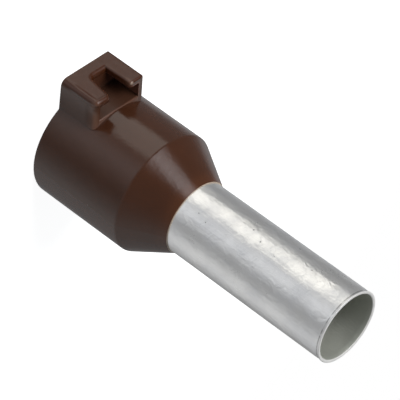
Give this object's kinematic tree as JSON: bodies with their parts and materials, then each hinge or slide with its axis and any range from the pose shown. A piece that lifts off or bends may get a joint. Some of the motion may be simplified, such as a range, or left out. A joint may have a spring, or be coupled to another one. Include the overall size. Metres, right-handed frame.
{
  "type": "wire end ferrule with marker holder",
  "caption": "Insulated wire end ferrule: a tin-plated contact sleeve in a moulded collar with a wire funnel, a conical nose and a slotted marker holder.",
  "frame": {"origin": "centre of the wire entry at the collar's flat rear face, on which the ferrule stands", "axes": "+Z along the sleeve's axis from the rear face to the sleeve's mouth, -Y towards the marker holder, +X to the holder's side with the large rounded corner"},
  "size_m": [0.0082, 0.0098, 0.022],
  "materials": {
    "tinned_copper": "satin tin plating on copper, lightly mottled",
    "collar_plastic": "smooth glossy dark brown moulding"
  },
  "bodies": {
    "root": {"contact_sleeve": "tinned_copper", "insulating_collar": "collar_plastic"}
  },
  "joints": []
}
